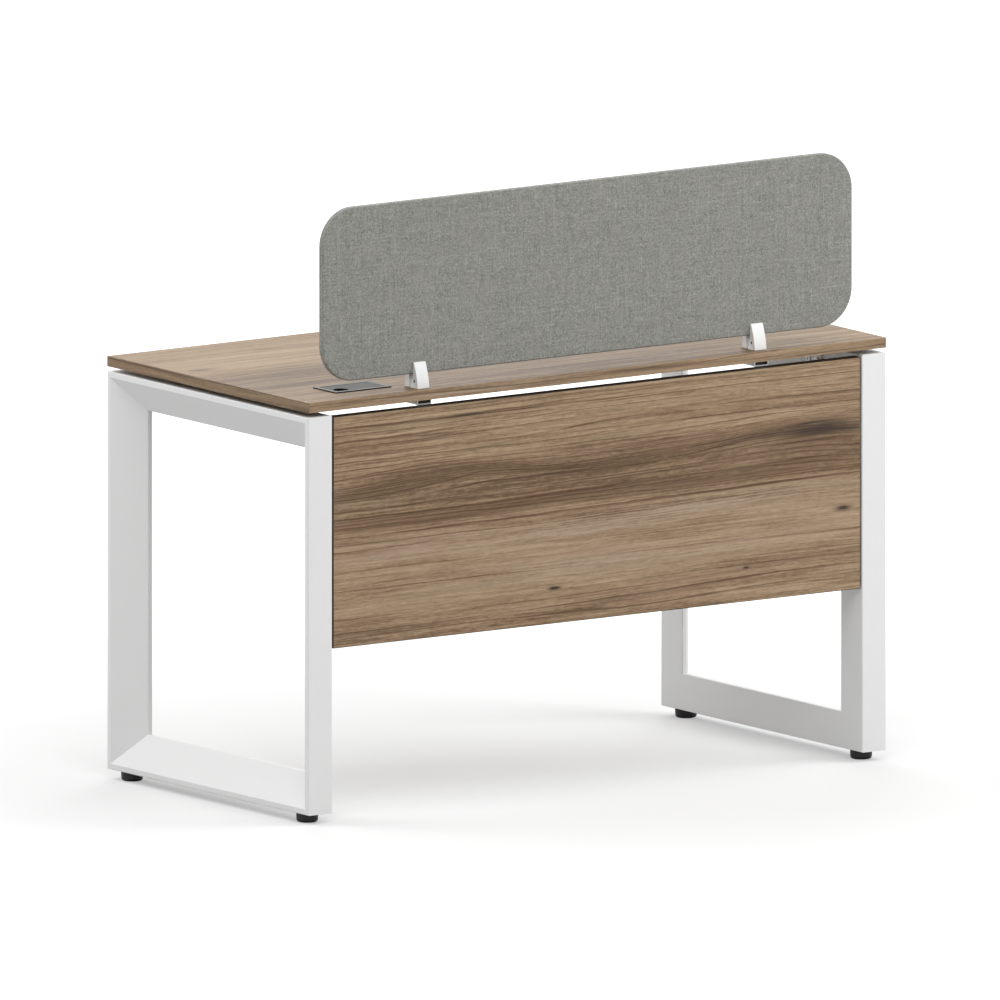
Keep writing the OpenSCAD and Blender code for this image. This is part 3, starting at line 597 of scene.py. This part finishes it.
def heatherCloth(name):
    sockets = {"Roughness": clothSet["roughness"], "Specular_IOR_Level": clothSet["shine"]}
    sockets.update({"Sheen_Weight": clothSet["sheen"], "Sheen_Roughness": clothSet["sheenRoughness"]})
    material, tree, shader, place = newMaterial(name, **sockets)
    cells = vectorMaths(tree, "MULTIPLY", place, (1 / clothSet["pitch"],) * 3)
    inputs = {"Vector": place, "Scale": clothSet["wobbleScale"], "Detail": 2.0}
    wobble = addNode(tree, "ShaderNodeTexNoise", inputs).outputs["Color"]
    cells = vectorMaths(tree, "ADD", cells, vectorMaths(tree, "MULTIPLY", wobble, (clothSet["wobble"],) * 3))
    whole = vectorMaths(tree, "FLOOR", cells)
    part = addNode(tree, "ShaderNodeSeparateXYZ", {0: cells}).outputs
    step = addNode(tree, "ShaderNodeSeparateXYZ", {0: whole}).outputs
    total = maths(tree, "ADD", maths(tree, "ADD", step[0], step[1]), step[2])
    over = maths(tree, "FLOORED_MODULO", total, 2.0)
    waves = [maths(tree, "SINE", maths(tree, "MULTIPLY", part[axis], math.pi)) for axis in (0, 2)]
    across, upright = (maths(tree, "ABSOLUTE", wave) for wave in waves)
    warp = maths(tree, "MULTIPLY", across, maths(tree, "POWER", upright, clothSet["crown"]))
    weft = maths(tree, "MULTIPLY", upright, maths(tree, "POWER", across, clothSet["crown"]))
    height = maths(tree, "ADD", maths(tree, "MULTIPLY", warp, over),
                   maths(tree, "MULTIPLY", weft, maths(tree, "SUBTRACT", 1.0, over)))
    # each yarn has its own shade, and slubs run along it
    yarn = addNode(tree, "ShaderNodeTexWhiteNoise", {"Vector": whole}, noise_dimensions="3D").outputs["Value"]
    share = maths(tree, "ADD", maths(tree, "MULTIPLY", yarn, clothSet["yarnShare"]),
                  maths(tree, "MULTIPLY", height, clothSet["weaveShare"]))
    for scale in clothSet["slubs"]:
        slub = noise(tree, stretch(tree, place, scale), 1.0, 2.0, 0.6)
        share = maths(tree, "ADD", share, maths(tree, "MULTIPLY", slub, clothSet["slubShare"]))
    # thicker and thinner yarns show as short pale and dark lines both ways
    for scale in clothSet["yarnLines"]:
        line = noise(tree, stretch(tree, place, scale), 1.0, 1.0)
        thick = spread(tree, line, *clothSet["thickYarn"], 0.0, clothSet["paleLine"], True)
        thin = spread(tree, line, *clothSet["thinYarn"], 0.0, clothSet["darkLine"], True)
        share = maths(tree, "SUBTRACT", maths(tree, "ADD", share, thick), thin)
    share = spread(tree, share, clothSet["darkBelow"], clothSet["lightAbove"])
    color = blendColor(tree, share, clothSet["dark"], clothSet["light"])
    patch = noise(tree, place, clothSet["warmScale"], 3.0)
    patch = spread(tree, patch, *clothSet["warmPatch"], 0.0, clothSet["warmShare"], True)
    color = blendColor(tree, patch, color, clothSet["warm"])
    # painted shade: the cloth is darker along its bottom fold, where shade falls
    above = addNode(tree, "ShaderNodeSeparateXYZ", {0: place}).outputs[2]
    paintedShade = spread(tree, above, clothSet["paintedShadeFrom"], clothSet["paintedShadeTo"], clothSet["paintedShadeShare"], 0.0, True)
    color = blendColor(tree, paintedShade, color, clothSet["foldPaintedShade"])
    tree.links.new(color, shader.inputs["Base Color"])
    setBump(tree, shader, height, clothSet["bump"], clothSet["bumpStrength"])
    return material


# Moulded plastic, and satin or blackened metal, with a fine even grain
mouldedSet = {
    "grainScale": 1400.0,
    "cloudScale": 40.0,
    "darkest": 0.85,  # of the colour
    "palest": 1.15,
    "roughnessSwing": 0.06,
    "grainRange": (0.3, 0.7),
    "bump": 0.00003,
    "bumpStrength": 0.5,
}


def moulded(name, color, roughness, shine=0.4):
    material, tree, shader, place = newMaterial(name, Specular_IOR_Level=shine)
    grain = noise(tree, place, mouldedSet["grainScale"], 2.0)
    cloud = noise(tree, place, mouldedSet["cloudScale"], 2.0)
    tint = varied(tree, cloud, color, mouldedSet["darkest"], mouldedSet["palest"])
    tree.links.new(tint, shader.inputs["Base Color"])
    swing = mouldedSet["roughnessSwing"]
    rough = spread(tree, grain, *mouldedSet["grainRange"], roughness - swing, roughness + swing)
    tree.links.new(rough, shader.inputs["Roughness"])
    setBump(tree, shader, grain, mouldedSet["bump"], mouldedSet["bumpStrength"])
    return material


# Bare metal: zinc plate and die cast, with a fine crystal grain
metalSet = {
    "darkest": 0.92,  # of the colour
    "palest": 1.06,
    "smoother": 0.05,
    "rougher": 0.07,
    "grainRange": (0.3, 0.7),
    "bump": 0.00001,
    "bumpStrength": 0.5,
}


def bareMetal(name, color, roughness, grainScale):
    material, tree, shader, place = newMaterial(name, Metallic=1.0)
    grain = noise(tree, stretch(tree, place, (grainScale,) * 3), 1.0, 3.0, 0.6)
    tint = varied(tree, grain, color, metalSet["darkest"], metalSet["palest"])
    tree.links.new(tint, shader.inputs["Base Color"])
    smooth, rough = roughness - metalSet["smoother"], roughness + metalSet["rougher"]
    gloss = spread(tree, grain, *metalSet["grainRange"], smooth, rough)
    tree.links.new(gloss, shader.inputs["Roughness"])
    setBump(tree, shader, grain, metalSet["bump"], metalSet["bumpStrength"])
    return material


# Fibreboard: the screen's core
boardSet = {
    "dark": (0.22, 0.15, 0.09),
    "light": (0.42, 0.31, 0.20),
    "fibreScale": 260.0,
    "roughness": 0.9,
    "shine": 0.2,
    "bump": 0.0002,
    "bumpStrength": 0.5,
}


def fibreboard(name):
    sockets = {"Roughness": boardSet["roughness"], "Specular_IOR_Level": boardSet["shine"]}
    material, tree, shader, place = newMaterial(name, **sockets)
    fibres = noise(tree, place, boardSet["fibreScale"], 4.0, 0.7)
    tint = blendColor(tree, fibres, boardSet["dark"], boardSet["light"])
    tree.links.new(tint, shader.inputs["Base Color"])
    setBump(tree, shader, fibres, boardSet["bump"], boardSet["bumpStrength"])
    return material


# Finishes. A tone is what the laminate lets through on that piece, which sets how dark it shows
look = {
    "topBoard": laminate("laminate_top", "X", "Y", seed=3.1, shine=0.155, tone=(0.750, 0.740, 0.680),
                         zones=topZonesAndScreenShade, streaks=topStreaks, knots=topKnots, shade=laminateSet["topShade"]),
    "topLong": laminate("band_long", "X", "Z", seed=7.7, tone=(0.92, 0.90, 0.85), streaks=rearBandStreaks,
                        pales=rearBandPales),
    "topEnd": laminate("band_end", "Y", "Z", seed=5.3, tone=(0.775, 0.765, 0.735)),
    "panelBoard": laminate("laminate_panel", "X", "Z", seed=1.7, shine=0.3, zones=panelZones,
                           flows=panelFlows, streaks=panelStreaks, pales=panelPales, knots=panelKnots),
    # painted shade: the panel's top and bottom bands are toned near black for the worktop's shadow over the
    # top band, and the end bands darker for the narrow gaps beside the posts
    "panelLongShaded": laminate("panel_band_long_shaded", "X", "Y", seed=9.2, shine=0.1, tone=(0.12, 0.12, 0.12)),
    "panelEndShaded": laminate("panel_band_end_shaded", "Z", "Y", seed=4.4, shine=0.2, tone=(0.35, 0.35, 0.35)),
    "powder": powderCoat("white_powder_coat", powderSet["color"]),
    "clampPaint": powderCoat("clamp_white", powderSet["clampColor"]),
    "cloth": heatherCloth("heather_cloth"),
    "portBorder": moulded("port_satin", (0.145, 0.137, 0.125), roughness=0.42, shine=0.12),
    "portLid": moulded("port_lid_satin", (0.042, 0.042, 0.039), roughness=0.46, shine=0.10),
    # painted shade: near black on the port's sides and underside, below its face
    "portShadedSide": moulded("port_shaded_side", (0.012, 0.012, 0.012), roughness=0.55, shine=0.2),
    "zinc": bareMetal("bright_zinc", (0.62, 0.62, 0.62), roughness=0.30, grainScale=400.0),
    "blackSteel": moulded("black_oxide", (0.03, 0.03, 0.03), roughness=0.40),
    "blockCast": bareMetal("block_cast", (0.58, 0.58, 0.56), roughness=0.36, grainScale=300.0),
    # painted shade: near black on the faces of the pocket in each block's rear end
    "blockPocketShade": moulded("block_pocket_shade", (0.048, 0.047, 0.045), roughness=0.60, shine=0.2),
    "footBlack": moulded("foot_black", (0.018, 0.018, 0.019), roughness=0.42),
    "coreBoard": fibreboard("core_board"),
}
print("materials made:", len(look))


# Rigid pieces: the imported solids, welded, with softened arrises
dressSet = {
    "weldWithin": 0.00001,
    "flatBelow": math.radians(0.5),  # edges that turn less than this go
    "sharpAbove": math.radians(30),  # edges that turn more than this are softened
    "mitreMatch": 0.01,
}
arrisSet = {
    "board": 0.00015,
    "band": 0.0006,
    "frame": 0.0008,
    "sheetMetal": 0.0003,
    "clamp": 0.0007,
    "block": 0.0005,
    "port": 0.0004,
    "foot": 0.0005,
    "fastener": 0.0003,
}


def finished(mesh, name, nodes, body, material, second=None, isSecond=None):
    for face in mesh.faces:
        face.smooth = True
        face.material_index = int(second is not None and isSecond(face))
    data = bpy.data.meshes.new(name)
    mesh.to_mesh(data)
    mesh.free()
    data.materials.append(material)
    if second is not None:
        data.materials.append(second)
    piece = bpy.data.objects.new(name, data)
    bpy.context.scene.collection.objects.link(piece)
    weigh = piece.modifiers.new("flat faces stay flat", "WEIGHTED_NORMAL")
    weigh.keep_sharp = False
    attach(piece, body)
    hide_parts(*nodes)
    return piece


def isMitre(face):  # a mitre face inside a welded corner
    across, upright = abs(face.normal.y), abs(face.normal.z)
    return abs(across - upright) < dressSet["mitreMatch"] and across > 0.5


def dressed(name, nodes, body, finish, arris, steps=2, welded=False, second=None, isSecond=None):
    mesh = bmesh.new()
    for node in nodes:
        mesh.from_mesh(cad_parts[node].data)
    if welded:
        bmesh.ops.delete(mesh, geom=[f for f in mesh.faces if isMitre(f)], context="FACES")
    bmesh.ops.remove_doubles(mesh, verts=mesh.verts, dist=dressSet["weldWithin"])
    bmesh.ops.dissolve_limit(mesh, angle_limit=dressSet["flatBelow"], verts=mesh.verts, edges=mesh.edges)
    sharp = [e for e in mesh.edges if len(e.link_faces) == 2 and e.calc_face_angle() > dressSet["sharpAbove"]]
    bmesh.ops.bevel(mesh, geom=sharp, offset=arrisSet[arris], offset_type="OFFSET", segments=steps,
                    profile=0.5, affect="EDGES", clamp_overlap=True, material=-1)
    finished(mesh, name, nodes, body, look[finish], look.get(second), isSecond)


dressed("worktop_board", ["worktop"], "desk", "topBoard", "board", 1)
for edge in ("front", "rear", "left", "right"):
    finish = "topLong" if edge in ("front", "rear") else "topEnd"
    dressed(f"worktop_{edge}_band", [f"worktop_{edge}_edge"], "desk", finish, "band")
dressed("modesty_board", ["modesty_panel"], "desk", "panelBoard", "board", 1)
for edge in ("top", "bottom", "left", "right"):
    finish = "panelLongShaded" if edge in ("top", "bottom") else "panelEndShaded"
    dressed(f"modesty_{edge}_band", [f"modesty_{edge}_edge"], "desk", finish, "board", 1)
print("boards dressed")

for side in ("left", "right"):
    members = [f"{side}_{part}" for part in ("front_post", "rear_post", "top_rail", "bottom_rail")]
    dressed(f"{side}_leg_frame", members, "desk", "powder", "frame", 3, welded=True)
for node in ("front_beam", "rear_beam", "beam_end_plates", "modesty_brackets"):
    dressed(f"{node}_coated", [node], "desk", "powder", "sheetMetal")
print("frames dressed")


# Fittings. The port below its face and the pocket in each clamping block's rear end are painted near black,
# as painted shade
pocketShadeSet = {
    "halfWidth": 0.0127,
    "halfHeight": 0.0027,
    "near": 0.0002,  # from the block's rear end
    "far": 0.0045,
}


# the faces below the port's top, which take the painted shade
def isShadedBelowTop(face):
    return face.normal.z < 0.5


# the pocket's faces, which take the painted shade
def isShadedPocket(block):
    low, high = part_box(block)
    middle = (low + high) / 2

    def test(face):
        spot = face.calc_center_median()
        beside, above = abs(spot.x - middle.x), abs(spot.z - middle.z)
        deep = high.y - pocketShadeSet["far"] < spot.y < high.y - pocketShadeSet["near"]
        return beside < pocketShadeSet["halfWidth"] and above < pocketShadeSet["halfHeight"] and deep

    return test


for side in ("left", "right"):
    for jaw in ("rear", "front"):
        node = f"{side}_clamp_{jaw}_jaw"
        dressed(f"{side}_{jaw}_jaw", [node], "desk", "clampPaint", "clamp", 3)
    dressed(f"{side}_block", [f"{side}_clamp_block"], "desk", "blockCast", "block",
            second="blockPocketShade", isSecond=isShadedPocket(f"{side}_clamp_block"))
dressed("port_border", ["port_frame"], "desk", "portBorder", "port",
        second="portShadedSide", isSecond=isShadedBelowTop)
dressed("port_flap", ["port_lid"], "port_lid", "portLid", "port",
        second="portShadedSide", isSecond=isShadedBelowTop)
for corner in ("front_left", "front_right", "rear_left", "rear_right"):
    body = f"{corner}_foot"
    dressed(f"{corner}_pad", [f"{corner}_foot"], body, "footBlack", "foot")
    dressed(f"{corner}_spindle", [f"{corner}_stem"], body, "zinc", "fastener")
for node in ("beam_bolts", "worktop_screws", "bracket_wood_screws", "bracket_post_screws", "clamp_bolts",
             "port_screws"):
    dressed(f"{node}_plated", [node], "desk", "zinc", "fastener", 1)
dressed("clamp_grub_screws_black", ["clamp_grub_screws"], "desk", "blackSteel", "fastener", 1)
print("fittings dressed")


# Screen cloth: two cuts stretched over the board, folded over its rim and tucked together
screenClothSet = {
    "cornerRadius": 0.065,
    "cornerSteps": 18,
    "fold": 0.0026,
    "foldSteps": 5,
    "seamRound": 0.0009,
    "seamSteps": 2,
    "flatRim": 0.004,
    "thickness": 0.0011,
    "turnIn": 0.010,  # cloth hidden past the rim, all round
    "onLevel": 1e-6,  # how close to a level a point counts as on it
}


def edgesAt(mesh, height):
    return [e for e in mesh.edges if all(abs(v.co.z - height) < screenClothSet["onLevel"] for v in e.verts)]


def screenCloth(name, node, side):
    low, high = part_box(node)
    wide, deep, tall = high - low
    middle = (low + high) / 2
    mesh = bmesh.new()
    bmesh.ops.create_grid(mesh, x_segments=1, y_segments=1, size=0.5)
    bmesh.ops.scale(mesh, vec=(wide, tall, 1), verts=mesh.verts)
    bmesh.ops.bevel(mesh, geom=mesh.verts, offset=screenClothSet["cornerRadius"], offset_type="OFFSET",
                    segments=screenClothSet["cornerSteps"], profile=0.5, affect="VERTICES", material=-1)
    raised = bmesh.ops.extrude_face_region(mesh, geom=mesh.faces[:])
    verts = [v for v in raised["geom"] if isinstance(v, bmesh.types.BMVert)]
    bmesh.ops.translate(mesh, vec=(0, 0, deep), verts=verts)
    bmesh.ops.recalc_face_normals(mesh, faces=mesh.faces)
    for height, size, steps in ((deep, "fold", "foldSteps"), (0.0, "seamRound", "seamSteps")):
        bmesh.ops.bevel(mesh, geom=edgesAt(mesh, height), offset=screenClothSet[size], offset_type="OFFSET",
                        segments=screenClothSet[steps], profile=0.5, affect="EDGES", material=-1)
    face = max(mesh.faces, key=lambda f: f.calc_center_median().z + f.calc_area())
    bmesh.ops.inset_region(mesh, faces=[face], thickness=screenClothSet["flatRim"])
    # the side against the board is open
    inside = [f for f in mesh.faces if f.normal.z < -0.99 and f.calc_area() > 0.1]
    bmesh.ops.delete(mesh, geom=inside, context="FACES")
    # stand it up on its side of the board
    turn = Matrix.Rotation(math.radians(-90 * side), 4, "X")
    place = Vector((middle.x, low.y if side > 0 else high.y, middle.z))
    bmesh.ops.transform(mesh, matrix=Matrix.Translation(place) @ turn, verts=mesh.verts)
    cloth = finished(mesh, name, [node], "desk", look["cloth"])
    thick = cloth.modifiers.new("cloth thickness", "SOLIDIFY")
    thick.thickness = screenClothSet["thickness"]
    thick.offset = -1.0


screenCloth("screen_rear_cloth", "screen_rear_fabric", 1)
screenCloth("screen_front_cloth", "screen_front_fabric", -1)
print("screen covered")


# Nodes that hardly show keep their own solids
for node, finish in (("screen_core", "coreBoard"), ("beam_rivet_nuts", "zinc"), ("foot_inserts", "zinc"),
                     ("port_hinge_pins", "zinc")):
    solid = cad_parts[node]
    solid.data.materials.clear()
    solid.data.materials.append(look[finish])
print("hidden nodes finished")

bpy.context.scene.view_settings.view_transform = "Standard"
